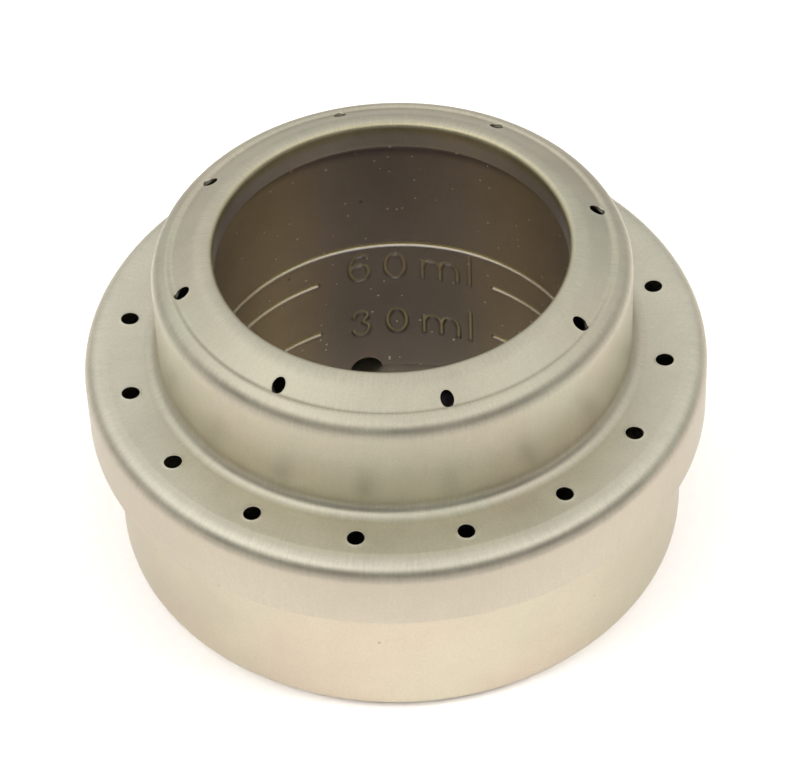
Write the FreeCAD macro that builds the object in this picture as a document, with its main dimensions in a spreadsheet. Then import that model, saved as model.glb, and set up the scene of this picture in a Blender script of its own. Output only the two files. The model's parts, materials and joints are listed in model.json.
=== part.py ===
"""Double-wall open-jet spirit burner: three thin titanium pressings held together by press fits.

Frame: millimetres, +Z up, origin at the centre of the underside of the foot. The burner is a body
of revolution about Z apart from its jets, fuel ports and the breaks in its fill marks.
"""
import FreeCAD, Part
import os
import re

import Sketcher
from FreeCAD import Placement, Rotation, Vector

# Driving dimensions in millimetres and degrees. The name is the alias of the cell.
SIZES = {
    "sheet": 0.36,             # thickness of the titanium sheet, all three pieces
    "clearance": 0.02,         # gap that stands for each press fit's line-to-line contact
    # base cup
    "cup_radius": 32.84,       # outside of the plain wall
    "cup_corner": 2.3,         # outside radius between wall and foot
    "joggle_height": 17.55,    # where the wall starts to step out under the head's skirt
    "rim_top": 24.0,           # top edge of the cup, inside the head
    "joggle_bend": 0.8,        # tighter radius of each joggle bend
    # burner head
    "skirt_radius": 35.51,     # outside of the skirt
    "skirt_foot": 17.86,       # lower edge of the skirt
    "ledge_height": 26.49,     # top of the lower jet ledge
    "rim_bend": 2.2,           # outside radius between ledge and skirt
    "wall_radius": 26.95,      # outside of the upper wall
    "wall_bend": 1.6,          # concave radius between ledge and upper wall
    "shoulder_height": 39.92,  # top of the shoulder
    "shoulder_bend": 2.35,     # outside radius of the shoulder
    "valley_bend": 0.3,        # concave radius between shoulder and cone
    "cone_slope": 30.0,        # degrees below horizontal of the upper jet cone
    "dome_edge": 21.54,        # radius at which cone and lip would meet without the dome
    "dome_bend": 3.3,          # outside radius of the dome between cone and lip
    "lip_top": 41.6,           # crest of the lip, the highest point
    "lip_roll": 0.75,          # outside radius of the roll from lip to collar
    "mouth_radius": 19.85,     # inside of the lip's collar
    "collar_foot": 38.2,       # lower edge of the collar
    # jets
    "lower_jet": 0.95,         # hole radius
    "lower_jet_ring": 30.75,   # pitch circle radius
    "lower_jets": 16,
    "upper_jet": 0.73,         # hole radius
    "upper_jet_ring": 23.88,   # radius at which the axis meets the cone
    "upper_jets": 8,
    "upper_jet_rise": 18.0,    # degrees above horizontal of the axis
    "jet_phase": 12.88,        # azimuth of the first jet of both rings
    # inner wall
    "bowl_radius": 22.0,       # inside of the sleeve
    "taper_foot": 36.0,        # where the sleeve starts to narrow towards its neck
    "neck_foot": 37.8,         # lower end of the straight neck
    "neck_top": 40.5,
    "port": 1.98,              # radius of a fuel port
    "port_drop": 0.3,          # how far below the sleeve's foot the port's centre lies
    "ports": 4,
    "port_phase": 99.6,        # azimuth of the first fuel port
    "mark": 0.35,              # radius of the groove that makes a fill mark
    "mark_rise": 0.11,         # how far in front of the bowl's face the groove's centre lies
    "bead": 0.3,               # radius of the bead that the groove pushes out behind the sheet
    "ring_mark": 20.58,        # height of the mark that runs all round
    "high_mark": 16.12,        # height of the 60 ml mark
    "low_mark": 7.94,          # height of the 30 ml mark
    "mark_phase": 85.7,        # azimuth of the middle of the break in a mark
    "mark_break": 57.2,        # degrees left open for the figure
}

FULL_TURN = 360
NEAR = 0.02      # how closely an edge must lie to a corner to be found there
JET_REACH = 4.0  # depth of an upper jet's cut, half of it each side of the cone

doc = FreeCAD.newDocument("spirit_burner")


def fill_sheet():
    """Write the driving dimensions into a spreadsheet, one aliased cell each."""
    sheet = doc.addObject("Spreadsheet::Sheet", "sizes")
    for row, (alias, value) in enumerate(SIZES.items(), start=1):
        sheet.set(f"A{row}", alias)
        sheet.set(f"B{row}", str(value))
        sheet.setAlias(f"B{row}", alias)
    doc.recompute()


def from_sheet(formula):
    """Turn a formula in bare aliases into one that reads the sheet's cells."""
    return re.sub(r"[a-z_]+", lambda m: f"sizes.{m[0]}" if m[0] in SIZES else m[0], formula)


def value_of(formula):
    """The number that a formula in bare aliases gives now."""
    return float(doc.getObject("sizes").evalExpression(from_sheet(formula)))


def origin_feature(body, role):
    return next(item for item in body.Origin.OriginFeatures if item.Role == role)


def new_body(name):
    body = doc.addObject("PartDesign::Body", name)
    body.Label = name
    return body


def new_sketch(body, name, role="XZ_Plane"):
    sketch = body.newObject("Sketcher::SketchObject", name)
    sketch.AttachmentSupport = [(origin_feature(body, role), "")]
    sketch.MapMode = "FlatFace"
    return sketch


def pin_point(sketch, geometry, point, formulas):
    """Hold one point of a sketch at two coordinates that the sheet drives."""
    for kind, axis, formula in zip(("DistanceX", "DistanceY"), "xy", formulas):
        if value_of(formula) == 0:
            on_axis = -2 if axis == "x" else -1
            sketch.addConstraint(Sketcher.Constraint("PointOnObject", geometry, point, on_axis))
            continue
        held = Sketcher.Constraint(kind, -1, 1, geometry, point, value_of(formula))
        index = sketch.addConstraint(held)
        sketch.setExpression(f"Constraints[{index}]", from_sheet(formula))


def draw_outline(sketch, corners):
    """Draw a closed outline through corners given as (radius, height) formulas."""
    places = [Vector(value_of(radius), value_of(height), 0) for radius, height in corners]
    count = len(corners)
    for index, place in enumerate(places):
        sketch.addGeometry(Part.LineSegment(place, places[(index + 1) % count]))
    for index in range(count):
        following = (index + 1) % count
        sketch.addConstraint(Sketcher.Constraint("Coincident", index, 2, following, 1))
    for index, corner in enumerate(corners):
        pin_point(sketch, index, 1, corner)


def draw_circle(sketch, centre, radius):
    """Draw a circle whose centre and radius the sheet drives."""
    place = Vector(value_of(centre[0]), value_of(centre[1]), 0)
    circle = sketch.addGeometry(Part.Circle(place, Vector(0, 0, 1), value_of(radius)))
    pin_point(sketch, circle, 3, centre)
    size = sketch.addConstraint(Sketcher.Constraint("Radius", circle, value_of(radius)))
    sketch.setExpression(f"Constraints[{size}]", from_sheet(radius))


def revolve(body, sketch, name, kind="Revolution"):
    turned = body.newObject(f"PartDesign::{kind}", name)
    turned.Profile = sketch
    turned.ReferenceAxis = (sketch, ["V_Axis"])
    turned.Angle = FULL_TURN
    sketch.Visibility = False
    return turned


def edge_at(body, radius, height):
    """Name the circular edge of the body that passes through a radius and a height."""
    for number, edge in enumerate(body.Shape.Edges, start=1):
        curve = edge.Curve
        if not isinstance(curve, Part.Circle):
            continue
        if abs(curve.Radius - radius) < NEAR and abs(curve.Center.z - height) < NEAR:
            return f"Edge{number}"
    raise ValueError(f"no edge at radius {radius:.2f}, height {height:.2f}")


def round_corner(body, name, corner, radius):
    """Round the corner at (radius, height) formulas with a radius that the sheet drives."""
    doc.recompute()
    edge = edge_at(body, value_of(corner[0]), value_of(corner[1]))
    before = body.Tip
    rounded = body.newObject("PartDesign::Fillet", name)
    rounded.Base = (before, [edge])
    rounded.Radius = value_of(radius)
    rounded.setExpression("Radius", from_sheet(radius))


def pattern_round(body, name, cut, count):
    """Repeat a cut evenly about Z and make the pattern the body's result."""
    ring = body.newObject("PartDesign::PolarPattern", name)
    ring.Originals = [cut]
    ring.Axis = (origin_feature(body, "Z_Axis"), [""])
    ring.Angle = FULL_TURN
    ring.setExpression("Occurrences", from_sheet(count))
    body.Tip = ring
    return ring


def place_turned(body, phase):
    """Turn a body about Z so that its first feature lies at the azimuth that the sheet holds."""
    body.Placement = Placement(Vector(0, 0, 0), Rotation(Vector(0, 0, 1), value_of(phase)))


def make_base_cup():
    """Drawn cup whose rim steps out to carry the head's skirt."""
    body = new_body("base_cup")
    grip = "skirt_radius - sheet - clearance"
    step = f"({grip} - cup_radius)"
    bevel = "sheet * tan(22.5 deg)"
    outline = [
        ("0", "0"),
        ("cup_radius", "0"),
        ("cup_radius", "joggle_height"),
        (grip, f"joggle_height + {step}"),
        (grip, "rim_top"),
        (f"{grip} - sheet", "rim_top"),
        (f"{grip} - sheet", f"joggle_height + {step} + {bevel}"),
        ("cup_radius - sheet", f"joggle_height + {bevel}"),
        ("cup_radius - sheet", "sheet"),
        ("0", "sheet"),
    ]
    sketch = new_sketch(body, "cup_outline")
    draw_outline(sketch, outline)
    revolve(body, sketch, "cup_turned")
    round_corner(body, "foot_outside", outline[1], "cup_corner")
    round_corner(body, "foot_inside", outline[8], "cup_corner - sheet")
    round_corner(body, "joggle_low_outside", outline[2], "joggle_bend + sheet")
    round_corner(body, "joggle_low_inside", outline[7], "joggle_bend")
    round_corner(body, "joggle_high_outside", outline[3], "joggle_bend")
    round_corner(body, "joggle_high_inside", outline[6], "joggle_bend + sheet")
    return body


def make_burner_head():
    """Stepped shell with two rings of jets and a domed lip rolled in to a short collar."""
    body = new_body("burner_head")
    slope = "tan(cone_slope * 1 deg)"
    drop = "sheet / cos(cone_slope * 1 deg)"
    valley = f"dome_edge + (lip_top - shoulder_height) / {slope}"
    outline = [
        ("mouth_radius", "collar_foot"),
        ("mouth_radius", "lip_top"),
        ("dome_edge", "lip_top"),
        (valley, "shoulder_height"),
        ("wall_radius", "shoulder_height"),
        ("wall_radius", "ledge_height"),
        ("skirt_radius", "ledge_height"),
        ("skirt_radius", "skirt_foot"),
        ("skirt_radius - sheet", "skirt_foot"),
        ("skirt_radius - sheet", "ledge_height - sheet"),
        ("wall_radius - sheet", "ledge_height - sheet"),
        ("wall_radius - sheet", "shoulder_height - sheet"),
        (f"{valley} + (sheet - {drop}) / {slope}", "shoulder_height - sheet"),
        (f"dome_edge + (sheet - {drop}) / {slope}", "lip_top - sheet"),
        ("mouth_radius + sheet", "lip_top - sheet"),
        ("mouth_radius + sheet", "collar_foot"),
    ]
    sketch = new_sketch(body, "head_outline")
    draw_outline(sketch, outline)
    revolve(body, sketch, "head_turned")
    round_corner(body, "lip_outside", outline[1], "lip_roll")
    round_corner(body, "lip_inside", outline[14], "lip_roll - sheet")
    round_corner(body, "dome_outside", outline[2], "dome_bend")
    round_corner(body, "dome_inside", outline[13], "dome_bend - sheet")
    round_corner(body, "valley_outside", outline[3], "valley_bend")
    round_corner(body, "valley_inside", outline[12], "valley_bend + sheet")
    round_corner(body, "shoulder_outside", outline[4], "shoulder_bend")
    round_corner(body, "shoulder_inside", outline[11], "shoulder_bend - sheet")
    round_corner(body, "wall_foot_outside", outline[5], "wall_bend")
    round_corner(body, "wall_foot_inside", outline[10], "wall_bend + sheet")
    round_corner(body, "rim_outside", outline[6], "rim_bend")
    round_corner(body, "rim_inside", outline[9], "rim_bend - sheet")
    drill_lower_jets(body)
    drill_upper_jets(body)
    place_turned(body, "jet_phase")
    return body


def drill_lower_jets(body):
    """Jets drilled straight down through the ledge."""
    sketch = new_sketch(body, "lower_jet_circle", "XY_Plane")
    draw_circle(sketch, ("lower_jet_ring", "0"), "lower_jet")
    cut = body.newObject("PartDesign::Pocket", "lower_jet_cut")
    cut.Profile = sketch
    cut.Reversed = True
    cut.setExpression("Length", from_sheet("ledge_height + lower_jet"))
    pattern_round(body, "lower_jet_ring_of_cuts", cut, "lower_jets")


def drill_upper_jets(body):
    """Jets drilled outwards and a little upwards through the cone."""
    sketch = new_sketch(body, "upper_jet_circle", "YZ_Plane")
    cone_height = "lip_top - (upper_jet_ring - dome_edge) * tan(cone_slope * 1 deg)"
    centre = Vector(0, value_of(cone_height), value_of("upper_jet_ring"))
    tilt = Rotation(Vector(1, 0, 0), -value_of("upper_jet_rise"))
    sketch.AttachmentOffset = Placement(centre, tilt)
    sketch.setExpression("AttachmentOffset.Base.y", from_sheet(cone_height))
    sketch.setExpression("AttachmentOffset.Base.z", from_sheet("upper_jet_ring"))
    draw_circle(sketch, ("0", "0"), "upper_jet")
    cut = body.newObject("PartDesign::Pocket", "upper_jet_cut")
    cut.Profile = sketch
    cut.Midplane = True
    cut.Length = JET_REACH
    pattern_round(body, "upper_jet_ring_of_cuts", cut, "upper_jets")


def make_inner_wall():
    """Sleeve with a neck that grips the collar, ports at its foot and raised fill marks."""
    body = new_body("inner_wall")
    neck = "mouth_radius + sheet + clearance"
    bevel = f"sheet * tan(atan((bowl_radius - {neck}) / (neck_foot - taper_foot)) / 2)"
    foot = "sheet + clearance"
    outline = [
        ("bowl_radius", foot),
        ("bowl_radius", "taper_foot"),
        (neck, "neck_foot"),
        (neck, "neck_top"),
        (f"{neck} + sheet", "neck_top"),
        (f"{neck} + sheet", f"neck_foot + {bevel}"),
        ("bowl_radius + sheet", f"taper_foot + {bevel}"),
        ("bowl_radius + sheet", foot),
    ]
    sketch = new_sketch(body, "sleeve_outline")
    draw_outline(sketch, outline)
    revolve(body, sketch, "sleeve_turned")
    press_mark(body, "ring_mark", broken=False)
    press_mark(body, "high_mark", broken=True)
    press_mark(body, "low_mark", broken=True)
    cut_ports(body, foot)
    place_turned(body, "mark_phase")
    return body


def press_mark(body, height, broken):
    """Press one fill mark outwards: a bead behind the sheet, then the groove in the bowl's face."""
    centre = "bowl_radius + sheet - (bead - mark + mark_rise)"
    turn_mark(body, f"{height}_bead", (centre, height), "bead", "Revolution", broken)
    centre = "bowl_radius - mark_rise"
    turn_mark(body, f"{height}_groove", (centre, height), "mark", "Groove", broken)


def turn_mark(body, name, centre, radius, kind, broken):
    """Turn a circle about Z, left open at azimuth 0 where the mark is broken for its figure."""
    sketch = new_sketch(body, f"{name}_circle")
    draw_circle(sketch, (f"-1 * ({centre[0]})", centre[1]), radius)
    turned = revolve(body, sketch, f"{name}_turned", kind)
    if broken:
        turned.Midplane = True
        turned.setExpression("Angle", from_sheet(f"{FULL_TURN} - mark_break"))


def cut_ports(body, foot):
    """Cut the fuel ports as arches in the sleeve's foot."""
    sketch = new_sketch(body, "port_circle", "YZ_Plane")
    draw_circle(sketch, ("0", f"{foot} - port_drop"), "port")
    turn = value_of("port_phase - mark_phase")
    sketch.AttachmentOffset = Placement(Vector(0, 0, 0), Rotation(Vector(0, 1, 0), turn))
    cut = body.newObject("PartDesign::Pocket", "port_cut")
    cut.Profile = sketch
    cut.Reversed = True
    cut.setExpression("Length", from_sheet("bowl_radius + sheet + bead"))
    pattern_round(body, "port_ring_of_cuts", cut, "ports")


def check_and_export(bodies):
    """Stop on any failed feature or bad shape, then write one STEP file per sub-part."""
    doc.recompute()
    for item in doc.Objects:
        if {"Invalid", "Error"} & set(item.State):
            raise RuntimeError(f"{item.Name} failed: {item.State}")
    os.makedirs("parts", exist_ok=True)
    for body in bodies:
        shape = body.Shape
        if shape.isNull() or not shape.isValid() or len(shape.Solids) != 1:
            raise RuntimeError(f"{body.Label} has no single valid solid")
        box = shape.BoundBox
        print(f"{body.Label}: volume {shape.Volume:.1f} mm3, radius {box.XMax:.2f} mm, "
              f"z {box.ZMin:.2f} to {box.ZMax:.2f} mm")
        shape.exportStep(f"parts/{body.Label}.step")


fill_sheet()
check_and_export([make_base_cup(), make_burner_head(), make_inner_wall()])
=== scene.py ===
"""Looks of the spirit burner: three titanium pressings on a pale studio floor.

Blender units are metres. Shapes are drawn in millimetres and scaled when a mesh is made.
"""
import json
import math

import bmesh
import bpy
import numpy as np
from mathutils import Matrix, Vector


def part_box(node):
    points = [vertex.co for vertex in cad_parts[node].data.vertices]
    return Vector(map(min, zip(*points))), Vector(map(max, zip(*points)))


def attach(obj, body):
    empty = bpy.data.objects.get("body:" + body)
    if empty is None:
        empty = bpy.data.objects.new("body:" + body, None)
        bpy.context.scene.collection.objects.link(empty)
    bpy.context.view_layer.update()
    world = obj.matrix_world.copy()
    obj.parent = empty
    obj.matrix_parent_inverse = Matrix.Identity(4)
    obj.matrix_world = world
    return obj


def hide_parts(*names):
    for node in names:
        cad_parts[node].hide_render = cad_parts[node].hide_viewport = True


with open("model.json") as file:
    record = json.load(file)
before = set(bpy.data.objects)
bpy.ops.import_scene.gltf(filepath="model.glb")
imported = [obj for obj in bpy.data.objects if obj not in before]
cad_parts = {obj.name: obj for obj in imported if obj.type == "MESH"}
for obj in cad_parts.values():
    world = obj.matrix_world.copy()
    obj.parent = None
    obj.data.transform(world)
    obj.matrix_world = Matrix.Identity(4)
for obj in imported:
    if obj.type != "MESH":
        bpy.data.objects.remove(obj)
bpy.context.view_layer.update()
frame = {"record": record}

MM = 0.001
MOUNTS = {mount["name"]: mount for mount in frame["record"]["mounts"]}
HEAD_LOW, HEAD_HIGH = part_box("burner_head")
CUP_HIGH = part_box("base_cup")[1]
SLEEVE_LOW, SLEEVE_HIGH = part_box("inner_wall")

# Sizes in millimetres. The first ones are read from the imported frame, and most of the others are
# the CAD model's. A BEND is the radius of a fillet on the visible skin.
CUP_RADIUS = MOUNTS["cup_seat"]["dims"]["r_mm"]
WALL_RADIUS = MOUNTS["cap_seat"]["dims"]["r_mm"]
MOUTH_RADIUS = MOUNTS["mouth"]["dims"]["r_mm"]
SKIRT_RADIUS = HEAD_HIGH.x / MM
SKIRT_FOOT = HEAD_LOW.z / MM
RIM_TOP = CUP_HIGH.z / MM
LIP_TOP = HEAD_HIGH.z / MM
SLEEVE_FOOT = SLEEVE_LOW.z / MM
NECK_TOP = SLEEVE_HIGH.z / MM
SHEET = 0.36
CLEARANCE = 0.02
CUP_CORNER = 2.3
JOGGLE_HEIGHT = 17.55
JOGGLE_BEND = 0.8
LEDGE_HEIGHT = 26.49
LEDGE_EDGE = 32.95       # radius where the ledge starts to fall towards the skirt
LEDGE_CROWN = 0.01
LEDGE_BEND = 0.8
RIM_DROP = 0.26
RIM_BEND = 2.2
WALL_BEND = 1.6
SHOULDER_HEIGHT = 39.92
SHOULDER_BEND = 2.35
VALLEY_BEND = 0.5
VALLEY_DROP = 0.09       # how far the groove at the dome's foot lies below the shoulder
VALLEY_REACH = 0.52      # from the groove's line to the flat of the shoulder
SHOULDER_CROWN = 0.1
CROWN_BEND = 0.6
CONE_SLOPE = math.radians(30)
DOME_EDGE = 21.54
DOME_BEND = 3.3
LIP_ROLL = 0.8
COLLAR_FOOT = 38.2
BOWL_RADIUS = 22.0
TAPER_FOOT = 36.0
NECK_FOOT = 37.8

# The shoulder's bend is drawn as two corners at these shares of its radius.
SHOULDER_CUTS = (0.27, 0.73)

# Every piece is out of round by the same waves: (waves round the body, share of radius, phase).
OVALITY = ((2, 0.0006, 0.7), (3, 0.0004, 2.1), (7, 0.0002, 4.0))

# Jets as (number, radius of a jet, radius of the ring). Azimuths are in degrees from +X,
# counterclockwise seen from above.
JET_PHASE = 12.88
LOWER_JETS, LOWER_JET, LOWER_RING = 16, 0.98, 30.75
UPPER_JETS, UPPER_JET, UPPER_RING = 8, 0.75, 23.88
LOWER_STRETCH = 1.06     # the lower jets are this much longer along the sheet than across it
LOWER_BURR, UPPER_BURR = 0.05, 0.03
UPPER_RISE = math.radians(18)

# How finely the pressings are meshed, in columns round the axis, and the block of quads that a
# drilled hole takes the place of, in columns to each side and millimetres along the sheet.
COLUMNS = 768
PATCH_COLUMNS = 8
PATCH_MARGIN = 0.35
BACK_DEPTH = 0.05        # a point deeper than this under the skin belongs to the sheet's back

# Rings of vertices round a drilled hole, from the face round it to the sheet's back. A scale is a
# share of the hole's own size, and a share says how far a ring has gone from square to round.
FACE_SCALE, FACE_SHARES = 1.24, (0.35, 0.7, 1.0)
BURR = ((1.16, 0.3), (1.08, 0.9), (1.02, 1.0), (0.98, 0.2))     # (scale, share of the burr)
BORE_SCALE, BORE_DEPTHS = 0.97, (0.2, 0.5, 0.8)                 # depths as shares of the sheet
BACK_RINGS = ((1.0, 1.0), (1.12, 1.0), (1.2, 0.55))             # (scale, share)


# ---------------------------------------------------------------- profiles

def rounded_profile(corners, spacing=0.9, arc_step=math.radians(6)):
    """Stations (r, z, normal r, normal z, bend) along corners given as (r, z, fillet radius).

    The normal points to the left of the direction of travel. bend is 1 on an arc and 0 on a run.
    """
    points = [Vector(corner[:2]) for corner in corners]
    radii = [corner[2] if len(corner) > 2 else 0 for corner in corners]
    stations = []

    def add(point, direction, bend):
        stations.append((point.x, point.y, -direction.y, direction.x, bend))

    start = points[0]
    for index in range(1, len(points)):
        heading = (points[index] - points[index - 1]).normalized()
        cut, turn = 0, 0
        if index < len(points) - 1 and radii[index]:
            onward = (points[index + 1] - points[index]).normalized()
            turn = math.atan2(heading.x * onward.y - heading.y * onward.x, heading.dot(onward))
            cut = radii[index] * math.tan(abs(turn) / 2)
        end = points[index] - heading * cut
        steps = max(1, math.ceil((end - start).length / spacing))
        for step in range(steps + (index == len(points) - 1)):
            add(start.lerp(end, step / steps), heading, 0)
        if cut:
            side = math.copysign(1, turn)
            centre = end + Vector((-heading.y, heading.x)) * radii[index] * side
            arms = max(2, math.ceil(abs(turn) / arc_step))
            for arm in range(arms):
                swing = Matrix.Rotation(turn * arm / arms, 2)
                add(centre + swing @ (end - centre), swing @ heading, 1)
            start = centre + Matrix.Rotation(turn, 2) @ (end - centre)
        else:
            start = end
    return stations


class Profile:
    """The visible skin of a pressing, measured along the sheet from its first edge."""

    def __init__(self, corners, **spacing):
        self.r, self.z, self.nr, self.nz, self.bend = np.array(rounded_profile(corners, **spacing)).T
        steps = np.hypot(np.diff(self.r), np.diff(self.z))
        self.along = np.concatenate([[0], np.cumsum(steps)])
        self.length = self.along[-1]

    def at(self, along, azimuth, depth):
        """Points in mm at a distance along the sheet, an azimuth, and a depth under the skin."""
        along, azimuth, depth = np.broadcast_arrays(along, azimuth, depth)
        r, z, nr, nz, bend = (np.interp(along, self.along, values)
                              for values in (self.r, self.z, self.nr, self.nz, self.bend))
        past = np.minimum(along, 0) + np.maximum(along - self.length, 0)
        r, z = r + past * nz - depth * nr, z - past * nr - depth * nz
        bend = np.where(depth > BACK_DEPTH, -1, bend)
        return np.stack([r * np.cos(azimuth), r * np.sin(azimuth), z], axis=-1), bend

    def along_at_radius(self, radius, low, high):
        """Distance along the sheet where the skin between two heights has a radius."""
        inside = (self.z > low) & (self.z < high)
        order = np.argsort(self.r[inside])
        return float(np.interp(radius, self.r[inside][order], self.along[inside][order]))


# ---------------------------------------------------------------- meshes

class Mesh:
    """Collects vertices in mm and the faces between them.

    Each vertex has a bend value: 1 on a bend or along the middle of a pressed line, 0 on a flat,
    and -1 on the back and in the holes of a sheet made from a profile.
    """

    def __init__(self):
        self.places, self.bends, self.faces, self.count = [], [], [], 0

    def add(self, places, bends):
        """Add vertices and return their numbers in the shape of the array given."""
        shape = places.shape[:-1]
        self.places.append(places.reshape(-1, 3))
        self.bends.append(np.broadcast_to(bends, shape).reshape(-1))
        numbers = np.arange(self.count, self.count + int(np.prod(shape))).reshape(shape)
        self.count += numbers.size
        return numbers

    def weave(self, numbers, closed_rows=False, skip=None):
        """Quads over a grid of vertex numbers whose columns run all the way round."""
        rows = np.concatenate([numbers, numbers[:1]]) if closed_rows else numbers
        corners = [rows[:-1], np.roll(rows[:-1], -1, 1), np.roll(rows[1:], -1, 1), rows[1:]]
        quads = np.stack(corners, axis=-1)
        if skip is not None:
            quads = quads[~skip[:len(quads)]]
        self.faces.extend(quads.reshape(-1, 4).tolist())

    def fan(self, ring, place):
        """Close a ring of vertex numbers with triangles to one new vertex on a flat."""
        middle = int(self.add(np.array([place], float), 0)[0])
        self.faces.extend([int(a), int(b), middle] for a, b in zip(ring, np.roll(ring, -1)))

    def build(self, name):
        """Make the object, in metres, smooth shaded and with its faces turned outwards."""
        places = np.concatenate(self.places)
        places = out_of_round(places) * MM
        data = bpy.data.meshes.new(name)
        data.from_pydata(places.tolist(), [], self.faces)
        work = bmesh.new()
        work.from_mesh(data)
        bmesh.ops.recalc_face_normals(work, faces=work.faces)
        work.to_mesh(data)
        work.free()
        layer = data.attributes.new("bend", "FLOAT", "POINT")
        layer.data.foreach_set("value", np.concatenate(self.bends).astype(np.float32))
        data.polygons.foreach_set("use_smooth", [True] * len(data.polygons))
        piece = bpy.data.objects.new(name, data)
        bpy.context.scene.collection.objects.link(piece)
        return piece


def out_of_round(places):
    """Give every piece the same slight ovality, so that fits stay fits."""
    azimuth = np.arctan2(places[:, 1], places[:, 0])
    swell = sum(share * np.cos(waves * azimuth + phase) for waves, share, phase in OVALITY)
    places[:, :2] *= (1 + swell)[:, None]
    return places


def edge_turn(rounding):
    """Overshoot and depth of the points that take a cut edge from the skin to the sheet's back."""
    angles = np.radians([30, 60, 90])
    overshoot = rounding * np.sin(angles)
    depth = rounding * (1 - np.cos(angles))
    return np.append(overshoot, overshoot[::-1]), np.append(depth, SHEET - depth[::-1])


def ring_between(first, second, share):
    """A ring that lies some share of the way from a first ring to a second one."""
    return first + (second - first) * share


def press(name, profile, roundings, holes=(), first_azimuth=0.0, bottom=False, columns=COLUMNS):
    """Turn a profile into a closed sheet with holes, or with a solid bottom where it meets the axis.

    roundings are the radii of its two cut edges, and columns is the number of azimuths it is
    meshed at. A hole is (azimuth column, distance along, half width, half length, skew, burr); a
    sheet with holes has to be meshed at all COLUMNS azimuths, which cut_hole counts on.
    """
    azimuths = first_azimuth + 2 * np.pi * np.arange(columns) / columns
    start_turn, end_turn = edge_turn(roundings[0]), edge_turn(roundings[1])
    stations = profile.along[:-1] if bottom else profile.along
    count = len(stations)
    inner = (stations[::-1], np.full(count, SHEET))
    start_edge = (-start_turn[0], start_turn[1][::-1])
    outer = (stations, np.zeros(count))
    end_edge = (profile.length + end_turn[0], end_turn[1])
    parts = [inner, start_edge, outer] if bottom else [inner, start_edge, outer, end_edge]
    along = np.concatenate([part[0] for part in parts])[:, None]
    depth = np.concatenate([part[1] for part in parts])[:, None]
    mesh = Mesh()
    grid = mesh.add(*profile.at(along, azimuths[None, :], depth))
    outer_row = count + len(start_turn[0])
    skip = np.zeros(grid.shape, bool)
    for hole in holes:
        cut_hole(mesh, profile, grid, azimuths, stations, outer_row, skip, hole)
    mesh.weave(grid, closed_rows=not bottom, skip=skip)
    if bottom:
        mesh.fan(grid[0], (0, 0, SHEET))
        mesh.fan(grid[-1], (0, 0, 0))
    return mesh.build(name)


def patch_border(low, high, left, right):
    """(row, column) steps once round a block of grid vertices."""
    border = [(low, column) for column in range(left, right)]
    border += [(row, right) for row in range(low, high)]
    border += [(high, column) for column in range(right, left, -1)]
    border += [(row, left) for row in range(high, low, -1)]
    return np.array(border)


def cut_hole(mesh, profile, grid, azimuths, stations, outer_row, skip, hole):
    """Swap a block of quads in both skins for rings that close in on a drilled hole.

    grid holds the sheet's vertex numbers, its rows from outer_row on lie on the visible skin, and
    skip marks the quads that the rings replace.
    """
    column, centre, half_width, half_length, skew, burr = hole
    low = int(np.searchsorted(stations, centre - half_length - PATCH_MARGIN)) - 1
    high = int(np.searchsorted(stations, centre + half_length + PATCH_MARGIN))
    border = patch_border(low, high, column - PATCH_COLUMNS, column + PATCH_COLUMNS)
    rows, columns = border[:, 0], border[:, 1] % COLUMNS
    radius = np.interp(centre, profile.along, profile.r)
    step = 2 * np.pi / COLUMNS
    across = (border[:, 1] - column) * step * radius
    ahead = stations[rows] - centre
    length = stations[high] - stations[low]
    angle = np.arctan2(ahead / length, across / (radius * step * 2 * PATCH_COLUMNS))
    round_x, round_y = half_width * np.cos(angle), half_length * np.sin(angle)

    def ring(scale, depth, share=1.0):
        shift = -skew * depth * min(1.0, share)
        x = ring_between(across, round_x * scale, share)
        y = ring_between(ahead, round_y * scale + shift, share)
        azimuth = azimuths[column % COLUMNS] + x / radius
        return mesh.add(*profile.at(centre + y, azimuth, depth))

    count = len(stations)
    outer_border = grid[outer_row + rows, columns]
    inner_border = grid[count - 1 - rows, columns]
    rings = [outer_border]
    rings += [ring(FACE_SCALE, 0, share) for share in FACE_SHARES]
    rings += [ring(scale, -burr * lift) for scale, lift in BURR]
    rings += [ring(BORE_SCALE, SHEET * depth) for depth in BORE_DEPTHS]
    rings += [ring(scale, SHEET, share) for scale, share in BACK_RINGS]
    rings += [inner_border]
    mesh.weave(np.stack(rings))
    covered = np.arange(column - PATCH_COLUMNS, column + PATCH_COLUMNS) % COLUMNS
    skip[outer_row + low:outer_row + high, covered] = True
    skip[count - 1 - high:count - 1 - low, covered] = True


def make_cup():
    """The plain lower cup, whose top edge grips the inside of the head's skirt."""
    grip = SKIRT_RADIUS - SHEET - CLEARANCE
    corners = [
        (grip, RIM_TOP),
        (grip, JOGGLE_HEIGHT + grip - CUP_RADIUS, JOGGLE_BEND),
        (CUP_RADIUS, JOGGLE_HEIGHT, JOGGLE_BEND + SHEET),
        (CUP_RADIUS, 0, CUP_CORNER),
        (0, 0),
    ]
    profile = Profile(corners, spacing=1.2)
    return press("cup", profile, (0.1, 0.1), bottom=True, columns=COLUMNS // 2)


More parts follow.
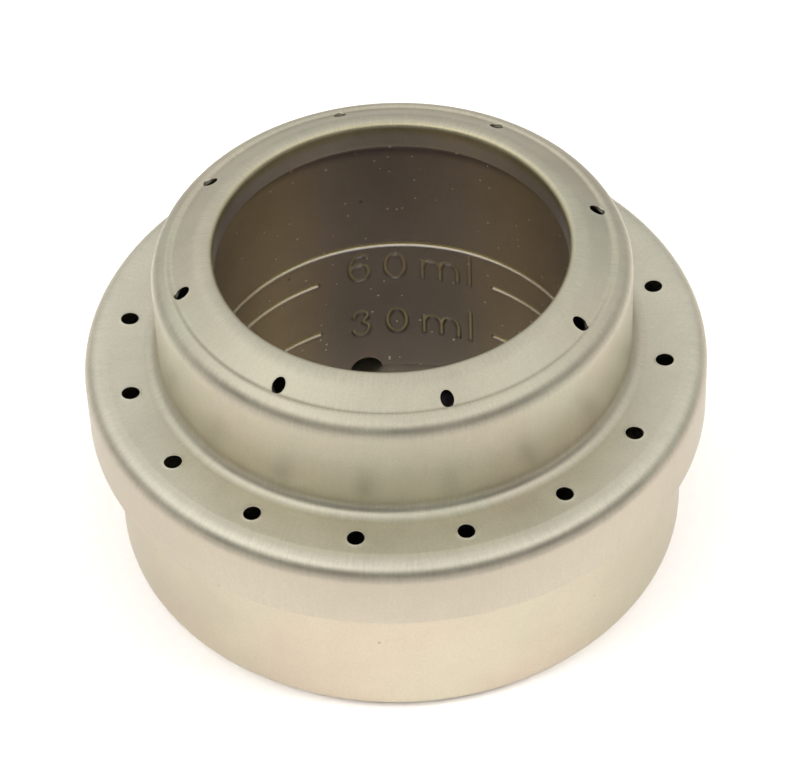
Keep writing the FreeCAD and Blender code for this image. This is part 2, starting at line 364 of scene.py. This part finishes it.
def make_head():
    """The stepped head: collar, lip, dome, shoulder, wall, ledge and skirt, with both rings of jets."""
    slope = math.tan(CONE_SLOPE)
    valley = DOME_EDGE + (LIP_TOP - SHOULDER_HEIGHT + VALLEY_DROP) / slope
    inner_cut, outer_cut = (share * SHOULDER_BEND for share in SHOULDER_CUTS)
    corners = [
        (MOUTH_RADIUS, COLLAR_FOOT),
        (MOUTH_RADIUS, LIP_TOP, LIP_ROLL),
        (DOME_EDGE, LIP_TOP, DOME_BEND),
        (valley, SHOULDER_HEIGHT - VALLEY_DROP, VALLEY_BEND),
        (valley + VALLEY_REACH, SHOULDER_HEIGHT + SHOULDER_CROWN, CROWN_BEND),
        (WALL_RADIUS - inner_cut, SHOULDER_HEIGHT - inner_cut, SHOULDER_BEND),
        (WALL_RADIUS, SHOULDER_HEIGHT - outer_cut, SHOULDER_BEND),
        (WALL_RADIUS, LEDGE_HEIGHT, WALL_BEND),
        (LEDGE_EDGE, LEDGE_HEIGHT + LEDGE_CROWN, LEDGE_BEND),
        (SKIRT_RADIUS, LEDGE_HEIGHT - RIM_DROP, RIM_BEND - 0.1),
        (SKIRT_RADIUS, SKIRT_FOOT + 0.3, 0.5),
        (SKIRT_RADIUS - 0.02, SKIRT_FOOT + SHEET / 2),
    ]
    profile = Profile(corners, spacing=0.45)
    lower = profile.along_at_radius(LOWER_RING, LEDGE_HEIGHT - 0.05, LEDGE_HEIGHT + 0.05)
    upper = profile.along_at_radius(UPPER_RING, SHOULDER_HEIGHT + 0.05, LIP_TOP)
    lean = math.pi / 2 - CONE_SLOPE - UPPER_RISE
    skew, stretch = math.tan(lean), 1 / math.cos(lean)
    holes = []
    for index in range(LOWER_JETS):
        column = index * COLUMNS // LOWER_JETS
        holes.append((column, lower, LOWER_JET, LOWER_JET * LOWER_STRETCH, 0, LOWER_BURR))
    for index in range(UPPER_JETS):
        column = index * COLUMNS // UPPER_JETS
        holes.append((column, upper, UPPER_JET, UPPER_JET * stretch, skew, UPPER_BURR))
    return press("head", profile, (0.05, 0.16), holes, math.radians(JET_PHASE))


# ---------------------------------------------------------------- the sleeve and its fill marks

RING_MARK, HIGH_MARK, LOW_MARK = 20.58, 16.12, 7.94
PORTS, PORT_RADIUS, PORT_DROP, PORT_PHASE = 4, 1.98, 0.3, 99.6
MARK_PHASE = 85.7        # azimuth of the middle of the figures
MARK_BREAK = 57.2        # degrees that the two lower marks leave open for them
GROOVE_WIDTH = 0.42      # half the width of a mark's line, and its depth
GROOVE_DEPTH = 0.32
FIGURE_WIDTH = 0.38      # the same for a stroke of the figures
FIGURE_DEPTH = 0.20
HIGH_FIGURE_DROP, LOW_FIGURE_DROP = 0.9, 1.9     # foot of the figures below their mark
FOOT_BAND = 4.4          # height up to which the sleeve's rows bend round the ports

# Places of the signs along the bowl from the middle of the figures.
DIGIT_X, NOUGHT_X, M_X, L_X = -5.62, -1.33, 1.95, 7.78
NOUGHT_WIDTH, NOUGHT_HEIGHT = 1.15, 1.9          # half width and half height
M_HEIGHT, M_STEP, L_HEIGHT = 2.7, 2.14, 4.45

# Strokes of the figures as points (x, height) in millimetres, drawn through with a smooth curve.
SIX = [(1.0, 3.5), (0.5, 3.95), (-0.5, 3.7), (-1.05, 2.6), (-1.12, 1.3), (-0.7, 0.3), (0, 0),
       (0.75, 0.3), (1.1, 1.2), (0.75, 2.15), (0, 2.45), (-0.75, 2.15), (-1.08, 1.5)]
THREE = [(-0.95, 3.0), (-0.67, 3.65), (-0.1, 3.93), (0.55, 3.6), (0.7, 2.95), (0.2, 2.12),
         (0.75, 1.6), (0.85, 1.0), (0.5, 0.22), (-0.1, 0), (-0.75, 0.2), (-1.05, 0.75)]
ARCH = [(0, 1.7), (0.35, 2.5), (0.95, 2.76), (1.65, 2.5), (2.1, 1.6), (2.14, 0)]


def smooth_line(points, samples=6):
    """Points along a Catmull-Rom curve through the points given."""
    held = [points[0], *points, points[-1]]
    line = []
    for a, b, c, d in zip(held, held[1:], held[2:], held[3:]):
        a, b, c, d = (np.array(point, float) for point in (a, b, c, d))
        for share in np.arange(samples) / samples:
            line.append(0.5 * (2 * b + (c - a) * share + (2 * a - 5 * b + 4 * c - d) * share ** 2
                               + (3 * b - a - 3 * c + d) * share ** 3))
    return line + [np.array(points[-1], float)]


def figure_strokes(digit, foot):
    """Lines (arc length from the middle, height) of a digit, a nought and the letters m and l."""
    turn = np.linspace(0, 2 * np.pi, 41)
    nought = np.stack([NOUGHT_X + NOUGHT_WIDTH * np.cos(turn),
                       NOUGHT_HEIGHT + NOUGHT_HEIGHT * np.sin(turn)], axis=1)
    strokes = [np.array(smooth_line(digit)) + (DIGIT_X, 0), nought]
    strokes.append(np.array([(M_X, 0), (M_X, M_HEIGHT)]))
    strokes += [np.array(smooth_line(ARCH)) + (start, 0) for start in (M_X, M_X + M_STEP)]
    strokes.append(np.array([(L_X, 0), (L_X, L_HEIGHT)]))
    return [stroke + (0, foot) for stroke in strokes]


def distance_to_line(x, y, line):
    """Shortest distance from each point to a line of short straight pieces."""
    nearest = np.full(x.shape, np.inf)
    for (ax, ay), (bx, by) in zip(line, line[1:]):
        run_x, run_y = bx - ax, by - ay
        square = max(run_x ** 2 + run_y ** 2, 1e-12)
        share = np.clip(((x - ax) * run_x + (y - ay) * run_y) / square, 0, 1)
        nearest = np.minimum(nearest, np.hypot(x - ax - share * run_x, y - ay - share * run_y))
    return nearest


def pressed(distance, half_width, depth):
    """Depth of a rounded groove at some distance from its middle line."""
    share = np.clip(distance / half_width, 0, 1)
    return depth * (1 - share ** 2) ** 1.5


def mark_relief(azimuth, height):
    """How far the bowl's face is pressed outwards, in mm, at each azimuth and height."""
    turned = (azimuth - math.radians(MARK_PHASE) + np.pi) % (2 * np.pi) - np.pi
    x = -turned * BOWL_RADIUS
    to_ring = np.abs(height - RING_MARK)
    half_break = math.radians(MARK_BREAK) / 2 * BOWL_RADIUS
    for mark in (HIGH_MARK, LOW_MARK):
        short_of_end = np.maximum(half_break - np.abs(x), 0)
        to_ring = np.minimum(to_ring, np.hypot(short_of_end, height - mark))
    to_figure = np.full(to_ring.shape, np.inf)
    lines = figure_strokes(SIX, HIGH_MARK - HIGH_FIGURE_DROP)
    lines += figure_strokes(THREE, LOW_MARK - LOW_FIGURE_DROP)
    for line in lines:
        to_figure = np.minimum(to_figure, distance_to_line(x, height, line))
    return np.maximum(pressed(to_ring, GROOVE_WIDTH, GROOVE_DEPTH),
                      pressed(to_figure, FIGURE_WIDTH, FIGURE_DEPTH))


def sleeve_columns():
    """Azimuths of the sleeve's columns, close together at the figures, mark ends and ports."""
    middle = math.radians(MARK_PHASE)
    columns = [np.radians(np.arange(0, 360, 1.5))]
    columns.append(middle + np.arange(-8.4, 8.0, 0.11) / BOWL_RADIUS)
    for end in (-MARK_BREAK / 2, MARK_BREAK / 2):
        columns.append(middle + np.radians(end + np.arange(-1.8, 1.9, 0.3)))
    for port in range(PORTS):
        arch = PORT_RADIUS * np.cos(np.linspace(0, np.pi, 25)) / BOWL_RADIUS
        columns.append(math.radians(PORT_PHASE + 360 / PORTS * port) + arch)
    columns = np.sort(np.concatenate(columns) % (2 * np.pi))
    return columns[np.concatenate([[True], np.diff(columns) > math.radians(0.07)])]


def sleeve_heights():
    """Heights of the sleeve's rows on the bowl's face, close together at the marks."""
    rows = [SLEEVE_FOOT + (FOOT_BAND - SLEEVE_FOOT) * np.linspace(0, 1, 10)]
    rows += [np.arange(5.3, 10.9, 0.1), np.arange(11.5, 14.4, 0.7), np.arange(14.6, 21.2, 0.1)]
    rows += [np.arange(22.0, TAPER_FOOT - 0.6, 1.0), np.arange(TAPER_FOOT - 0.4, NECK_TOP, 0.15)]
    return np.append(np.concatenate(rows), NECK_TOP)


def port_edge(azimuth):
    """Height of the sleeve's foot, raised to an arch at each fuel port."""
    spacing = 2 * np.pi / PORTS
    off = (azimuth - math.radians(PORT_PHASE) + spacing / 2) % spacing - spacing / 2
    rise = np.sqrt(np.maximum(PORT_RADIUS ** 2 - (off * BOWL_RADIUS) ** 2, 0)) - PORT_DROP
    return SLEEVE_FOOT + np.maximum(rise, 0)


def make_sleeve():
    """The bowl's inner wall, from its ported foot up to the neck that sits round the collar."""
    neck = MOUTH_RADIUS + SHEET + CLEARANCE
    azimuth = sleeve_columns()[None, :]
    face = sleeve_heights()[:, None]
    overshoot, turn_depth = edge_turn(0.1)
    back = np.linspace(NECK_TOP, SLEEVE_FOOT, 40)[:, None]
    height = np.concatenate([face, NECK_TOP + overshoot[:, None], back,
                             SLEEVE_FOOT - overshoot[:, None]])
    depth = np.concatenate([0 * face, turn_depth[:, None], 0 * back + SHEET,
                            turn_depth[::-1, None]])
    taper = np.clip((height - TAPER_FOOT) / (NECK_FOOT - TAPER_FOOT), 0, 1)
    radius = BOWL_RADIUS + (neck - BOWL_RADIUS) * taper * taper * (3 - 2 * taper) + depth
    relief = np.zeros((len(height), azimuth.size))
    relief[:len(face)] = mark_relief(azimuth, face)
    radius = radius + relief
    fade = np.clip((FOOT_BAND - height) / (FOOT_BAND - SLEEVE_FOOT), 0, 1)
    lift = (port_edge(azimuth) - SLEEVE_FOOT) * fade
    spots = np.stack(np.broadcast_arrays(radius * np.cos(azimuth), radius * np.sin(azimuth),
                                         height + lift), axis=-1)
    mesh = Mesh()
    # the relief also serves as the bend value by which the bowl's material paints a golden highlight on
    # the strokes
    mesh.weave(mesh.add(spots, relief / GROOVE_DEPTH), closed_rows=True)
    return mesh.build("bowl_wall")


# ---------------------------------------------------------------- material

def add_node(tree, kind, values=None, **settings):
    """Add a shader node. values maps an input's name or number to a constant or to a socket."""
    made = tree.nodes.new(f"ShaderNode{kind}")
    for name, value in settings.items():
        setattr(made, name, value)
    for name, value in (values or {}).items():
        if isinstance(value, bpy.types.NodeSocket):
            tree.links.new(value, made.inputs[name])
        else:
            made.inputs[name].default_value = value
    return made


def math_node(tree, operation, *values, clamp=False):
    """Output of a Math node whose inputs are constants or sockets."""
    made = add_node(tree, "Math", dict(enumerate(values)), operation=operation, use_clamp=clamp)
    return made.outputs[0]


def ramp(tree, value, low, high, low_out=0.0, high_out=1.0):
    """Map a value from one range to another, clamped, with soft ends."""
    made = add_node(tree, "MapRange", {"Value": value, "From Min": low, "From Max": high,
                                       "To Min": low_out, "To Max": high_out})
    made.interpolation_type = "SMOOTHSTEP"
    return made.outputs[0]


def mix_colours(tree, share, first, second, blend="MIX"):
    """Blend two colours. Inputs 0, 6 and 7 of a Mix node are the factor and the two colours."""
    made = add_node(tree, "Mix", {0: share, 6: first, 7: second}, data_type="RGBA", blend_type=blend)
    return made.outputs[2]


def grey(tree, value):
    """The same value in all three channels."""
    return add_node(tree, "CombineXYZ", {0: value, 1: value, 2: value}).outputs[0]


def new_material(name):
    """A material with its Principled BSDF node, as (material, tree, node)."""
    material = bpy.data.materials.new(name)
    material.use_nodes = True
    return material, material.node_tree, material.node_tree.nodes["Principled BSDF"]


def noise(tree, vector, scale, detail=2.0, roughness=0.5):
    """Noise between 0 and 1, with its scale in the units of the vector."""
    made = add_node(tree, "TexNoise", {"Vector": vector, "Scale": scale, "Detail": detail,
                                       "Roughness": roughness})
    return made.outputs["Fac"]


def titanium(name, tone, roughness, streaks, specks, dust=0.0, second=None, inside=1.0):
    """Satin titanium: blasted grain, streaks drawn across the bends, a faint mottle and specks.

    Object coordinates are turned into millimetres, so every scale below is per millimetre.
    streaks is their contrast on a bend, specks and dust are the shares of cells that hold a dark speck
    or a light fleck, and inside is how bright the painted shade leaves the sheet's back and its holes'
    walls.
    second(tree, colour, split, radius, bend) may lay painted light and shade over the first tone. split
    holds the place's x, y and z and radius its distance from the axis, in millimetres.
    """
    material, tree, surface = new_material(name)
    place = add_node(tree, "TexCoord").outputs["Object"]
    place = add_node(tree, "VectorMath", {0: place, "Scale": 1 / MM}, operation="SCALE").outputs[0]
    split = add_node(tree, "SeparateXYZ", {0: place}).outputs
    flat = add_node(tree, "CombineXYZ", {0: split[0], 1: split[1]}).outputs[0]
    radius = add_node(tree, "VectorMath", {0: flat}, operation="LENGTH").outputs["Value"]
    outwards = add_node(tree, "VectorMath", {0: flat}, operation="NORMALIZE").outputs[0]
    outwards = add_node(tree, "VectorMath", {0: outwards, "Scale": 100.0}, operation="SCALE").outputs[0]
    outwards = add_node(tree, "SeparateXYZ", {0: outwards}).outputs
    along = math_node(tree, "SUBTRACT", math_node(tree, "MULTIPLY", radius, 0.35),
                      math_node(tree, "MULTIPLY", split[2], 0.35))
    drawn = add_node(tree, "CombineXYZ", {0: outwards[0], 1: outwards[1], 2: along}).outputs[0]
    bend = add_node(tree, "Attribute", attribute_name="bend").outputs["Fac"]
    on_back = math_node(tree, "MULTIPLY", bend, -1.0, clamp=True)
    bend = math_node(tree, "MAXIMUM", bend, 0.0)

    grain = noise(tree, place, 4.5, 2.0, 0.6)
    streak = noise(tree, drawn, 1.0, 2.0, 0.55)
    cloud = noise(tree, place, 0.11, 4.0, 0.6)
    tint = noise(tree, place, 0.06, 2.0, 0.5)
    cells = add_node(tree, "TexVoronoi", {"Vector": place, "Scale": 0.24, "Randomness": 1.0})
    speck = math_node(tree, "LESS_THAN", cells.outputs["Distance"], 0.055)
    chosen = add_node(tree, "SeparateXYZ", {0: cells.outputs["Color"]}).outputs[0]
    speck = math_node(tree, "MULTIPLY", speck, math_node(tree, "LESS_THAN", chosen, specks))
    streak_share = math_node(tree, "MULTIPLY_ADD", bend, streaks, 0.4 * streaks)

    warm = [channel * shift for channel, shift in zip(tone, (1.015, 0.99, 0.98))] + [1]
    green = [channel * shift for channel, shift in zip(tone, (0.985, 1.01, 0.99))] + [1]
    colour = mix_colours(tree, ramp(tree, tint, 0.35, 0.65), warm, green)
    if second:
        colour = second(tree, colour, split, radius, bend)
    shade = ramp(tree, cloud, 0.25, 0.75, 0.93, 1.05)
    shade = math_node(tree, "MULTIPLY", shade, ramp(tree, grain, 0.2, 0.8, 0.94, 1.06))
    lines = math_node(tree, "SUBTRACT", streak, 0.5)
    lines = math_node(tree, "MULTIPLY", lines, streak_share)
    shade = math_node(tree, "MULTIPLY", shade, math_node(tree, "ADD", lines, 1.0))
    shade = math_node(tree, "MULTIPLY", shade, ramp(tree, speck, 0, 1, 1.0, 0.62))
    # painted shade: the sheet's back and the walls of its holes are darkened to inside
    shade = math_node(tree, "MULTIPLY", shade, ramp(tree, on_back, 0, 1, 1.0, inside))
    colour = mix_colours(tree, 1.0, colour, grey(tree, shade), "MULTIPLY")
    if dust:
        cells = add_node(tree, "TexVoronoi", {"Vector": place, "Scale": 0.7, "Randomness": 1.0})
        fleck = math_node(tree, "LESS_THAN", cells.outputs["Distance"], 0.11)
        chosen = add_node(tree, "SeparateXYZ", {0: cells.outputs["Color"]}).outputs[1]
        fleck = math_node(tree, "MULTIPLY", fleck, math_node(tree, "LESS_THAN", chosen, dust))
        colour = mix_colours(tree, fleck, colour, (1.0, 0.98, 0.92, 1))

    gloss = ramp(tree, cloud, 0.3, 0.7, roughness - 0.03, roughness + 0.04)
    gloss = math_node(tree, "ADD", gloss, ramp(tree, grain, 0.2, 0.8, -0.03, 0.03))
    height = math_node(tree, "ADD", math_node(tree, "MULTIPLY", streak, streak_share), grain)
    bump = add_node(tree, "Bump", {"Height": height, "Strength": 0.5, "Distance": 0.015 * MM})
    tree.links.new(colour, surface.inputs["Base Color"])
    tree.links.new(gloss, surface.inputs["Roughness"])
    tree.links.new(bump.outputs[0], surface.inputs["Normal"])
    surface.inputs["Metallic"].default_value = 1.0
    return material


def head_painted_light(tree, colour, split, radius, bend):
    """Painted light and shade on the head: a lighter ledge top, a darker skirt, a lighter, greyer
    collar and a golden reflection on the lip's roll.
    """
    # painted shade: the skirt's vertical side gets a darker colour
    colour = mix_colours(tree, ramp(tree, radius, 34.9, 35.5), colour, (0.545, 0.49, 0.40, 1))
    # painted light: the ledge's top face gets a lighter colour
    outer = ramp(tree, radius, 34.4, 35.2, 1, 0)
    ledge = math_node(tree, "MULTIPLY", ramp(tree, radius, 28.0, 29.0), outer)
    colour = mix_colours(tree, ledge, colour, (0.71, 0.67, 0.55, 1))
    # painted light: the collar gets a lighter, greyer colour, and a painted golden reflection lies at
    # the top of the lip's roll
    inner = mix_colours(tree, ramp(tree, split[2], 39.6, 40.9), (0.76, 0.72, 0.70, 1),
                        (0.62, 0.56, 0.38, 1))
    return mix_colours(tree, ramp(tree, radius, 20.1, 20.5), inner, colour)


def bowl_painted_light(tree, colour, split, radius, bend):
    """Painted light and shade in the bowl: darker towards its bottom, lighter browner sides, painted
    shade under the collar and a painted golden highlight on the pressed strokes.
    """
    # painted shade: darker towards the bowl's bottom
    low = ramp(tree, split[2], 6.0, 24.0)
    low = mix_colours(tree, low, (0.68, 0.68, 0.69, 1), (1, 1, 1, 1))
    colour = mix_colours(tree, 1.0, colour, low, "MULTIPLY")
    # painted light: lighter, browner colour on the bowl's right and left sides
    colour = mix_colours(tree, ramp(tree, split[0], 6.0, 17.0), colour, (0.66, 0.585, 0.50, 1))
    colour = mix_colours(tree, ramp(tree, split[0], -16.0, -5.0), (0.74, 0.655, 0.51, 1), colour)
    # painted shade under the collar's overhang: darker and bluer near the bowl's top
    neck = ramp(tree, split[2], 34.5, 36.0)
    neck = mix_colours(tree, neck, (1, 1, 1, 1), (0.60, 0.57, 0.66, 1))
    colour = mix_colours(tree, 1.0, colour, neck, "MULTIPLY")
    # painted highlight: the pressed strokes are coloured golden as if lit
    return mix_colours(tree, ramp(tree, bend, 0.25, 0.95), colour, (1.0, 0.90, 0.56, 1))


def paper(name):
    """Matt white floor with the slight tooth of paper and a painted pool of light round the burner,
    greyer outside it.
    """
    material, tree, surface = new_material(name)
    place = add_node(tree, "TexCoord").outputs["Object"]
    settings = {0: place, 1: Vector(LIGHT_POOL_MIDDLE)}
    away = add_node(tree, "VectorMath", settings, operation="DISTANCE").outputs["Value"]
    # painted pool of light: the paper is lighter within a disc round the burner
    away = ramp(tree, away, *LIGHT_POOL_EDGE)
    tooth = ramp(tree, noise(tree, place, 900.0, 3.0), 0.3, 0.7, 0.98, 1.0)
    colour = mix_colours(tree, away, PAPER_NEAR, PAPER_FAR)
    colour = mix_colours(tree, 1.0, colour, grey(tree, tooth), "MULTIPLY")
    tree.links.new(colour, surface.inputs["Base Color"])
    surface.inputs["Roughness"].default_value = 0.9
    surface.inputs["Specular IOR Level"].default_value = 0.1
    return material


# ---------------------------------------------------------------- studio

# Room light as (elevation in degrees, radiance, tint) behind and in front of the burner.
LIGHT_SCALE = 2.5
BACK_LIGHT = [
    (0, 0.42, (1, 1, 1)),
    (20, 0.58, (1, 1, 0.99)),
    (45, 0.74, (0.98, 1, 0.97)),
    (65, 0.88, (0.99, 1, 0.98)),
    (90, 0.74, (1, 1, 0.98)),
]
FRONT_LIGHT = [
    (0, 0.62, (1, 1, 1)),
    (12, 0.06, (1, 0.98, 0.94)),
    (35, 0.06, (1, 0.98, 0.94)),
    (44, 1.25, (1, 1, 0.98)),
    (51, 2.0, (1, 1, 0.98)),
    (62, 0.76, (1, 1, 0.98)),
    (75, 0.63, (1, 1, 0.98)),
    (90, 0.74, (1, 1, 0.98)),
]
BACK_BLEND = (-0.35, 0.25)      # y of the direction over which front turns into back
SIDE_RISE = (0.1, 0.6)          # z of the direction over which the sides grow brighter
SIDE_REACH = 0.65               # x of the direction where they are brightest
LEFT_BOOST, RIGHT_BOOST = 0.50, 0.20

# Lamps in metres and watts, placed by azimuth in degrees.
LAMP_COLOUR = (1, 0.985, 0.96)
OVERHEAD_PLACE, OVERHEAD_SIZE, OVERHEAD_POWER = (0.05, -0.1, 1.2), 1.6, 3.9
FILLS = ((-12, 3.7), (-160, 3.5))
FILL_DISTANCE, FILL_HEIGHT, FILL_AIM, FILL_SIZE = 0.55, 0.35, 0.04, 0.4

# Paper: half the length of its side, and a painted pool of light round the burner, in metres.
FLOOR_REACH = 1.5
LIGHT_POOL_MIDDLE, LIGHT_POOL_EDGE = (0, 0.03, 0), (0.082, 0.103)
PAPER_NEAR, PAPER_FAR = (0.885, 0.86, 0.845, 1), (0.47, 0.465, 0.46, 1)

# Camera in degrees and millimetres. It aims beside and below the middle of the ledge.
CAMERA_ELEVATION, CAMERA_ROLL = 45.345, -2.409
CAMERA_DISTANCE, CAMERA_LENS = 418.8, 165.4
AIM_RIGHT, AIM_DOWN = 0.56, 4.61


def make_floor():
    """A square sheet of paper under the burner."""
    work = bmesh.new()
    bmesh.ops.create_grid(work, x_segments=4, y_segments=4, size=FLOOR_REACH)
    data = bpy.data.meshes.new("floor")
    work.to_mesh(data)
    work.free()
    floor = bpy.data.objects.new("floor", data)
    bpy.context.scene.collection.objects.link(floor)
    data.materials.append(paper("floor_paper"))
    return floor


def light_room():
    """Soft room light that varies with direction: a dim band low down, brighter overhead."""
    world = bpy.data.worlds.new("room")
    bpy.context.scene.world = world
    world.use_nodes = True
    tree = world.node_tree
    direction = add_node(tree, "TexCoord").outputs["Generated"]
    split = add_node(tree, "SeparateXYZ", {0: direction}).outputs
    colours = []
    for stops in (BACK_LIGHT, FRONT_LIGHT):
        band = add_node(tree, "ValToRGB", {0: split[2]})
        band.color_ramp.interpolation = "EASE"
        for index, (elevation, level, tint) in enumerate(stops):
            position = math.sin(math.radians(elevation))
            elements = band.color_ramp.elements
            element = elements[index] if index < 2 else elements.new(position)
            element.position = position
            element.color = [level / LIGHT_SCALE * channel for channel in tint] + [1]
        colours.append(band.outputs[0])
    towards_back = ramp(tree, split[1], *BACK_BLEND)
    colour = mix_colours(tree, towards_back, colours[1], colours[0])
    high = ramp(tree, split[2], *SIDE_RISE)
    side = math_node(tree, "ADD", ramp(tree, split[0], -SIDE_REACH, 0, LEFT_BOOST, 0),
                     ramp(tree, split[0], 0, SIDE_REACH, 0, RIGHT_BOOST))
    side = math_node(tree, "MULTIPLY_ADD", side, high, 1.0)
    colour = mix_colours(tree, 1.0, colour, grey(tree, side), "MULTIPLY")
    background = tree.nodes["Background"]
    tree.links.new(colour, background.inputs["Color"])
    background.inputs["Strength"].default_value = LIGHT_SCALE


def add_lamp(name, place, aim, size, power):
    """A round lamp that lights the scene but is not mirrored in the metal."""
    data = bpy.data.lights.new(name, "AREA")
    data.shape = "DISK"
    data.size = size
    data.energy = power
    data.color = LAMP_COLOUR
    lamp = bpy.data.objects.new(name, data)
    lamp.location = place
    lamp.rotation_mode = "QUATERNION"
    lamp.rotation_quaternion = (Vector(aim) - Vector(place)).to_track_quat("-Z", "Y")
    lamp.visible_glossy = False
    bpy.context.scene.collection.objects.link(lamp)


def add_camera():
    """Camera in front of the burner and 45 degrees above it, rolled slightly to the left."""
    elevation = math.radians(CAMERA_ELEVATION)
    roll = math.radians(CAMERA_ROLL)
    right = Vector((1, 0, 0))
    up = Vector((0, math.sin(elevation), math.cos(elevation)))
    back = Vector((0, -math.cos(elevation), math.sin(elevation)))
    across = math.cos(roll) * right + math.sin(roll) * up
    upward = math.cos(roll) * up - math.sin(roll) * right
    aim = Vector((0, 0, LEDGE_HEIGHT)) * MM + across * AIM_RIGHT * MM - upward * AIM_DOWN * MM
    data = bpy.data.cameras.new("camera")
    data.sensor_width = 36
    data.lens = CAMERA_LENS
    data.clip_start, data.clip_end = 0.01, 20
    camera = bpy.data.objects.new("camera", data)
    turn = Matrix((across, upward, back)).transposed().to_4x4()
    camera.matrix_world = Matrix.Translation(aim + back * CAMERA_DISTANCE * MM) @ turn
    bpy.context.scene.collection.objects.link(camera)
    bpy.context.scene.camera = camera


scene = bpy.context.scene
scene.view_settings.view_transform = "Standard"

finishes = {
    "cup": (
        "base_cup",
        "cup_titanium",
        titanium("cup_metal", (0.575, 0.515, 0.41), 0.42, 0.05, 0.3),
    ),
    "head": (
        "burner_head",
        "head_titanium",
        titanium("head_metal", (0.61, 0.57, 0.46), 0.45, 0.17, 0.2, 0.0, head_painted_light, 0.25),
    ),
    "bowl_wall": (
        "inner_wall",
        "bowl_titanium",
        titanium("bowl_metal", (0.525, 0.475, 0.49), 0.42, 0.05, 0.3, 0.6, bowl_painted_light),
    ),
}
for piece in (make_cup(), make_head(), make_sleeve()):
    node, slot, material = finishes[piece.name]
    piece.data.materials.append(material)
    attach(piece, "root")
    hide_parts(node)

make_floor()
light_room()
add_lamp("overhead", OVERHEAD_PLACE, (0, 0, 0), OVERHEAD_SIZE, OVERHEAD_POWER)
for turn, power in FILLS:
    side = Vector((math.cos(math.radians(turn)), math.sin(math.radians(turn)), 0))
    place = side * FILL_DISTANCE + Vector((0, 0, FILL_HEIGHT))
    add_lamp(f"fill_{turn % 360}", place, side * FILL_AIM, FILL_SIZE, power)
add_camera()
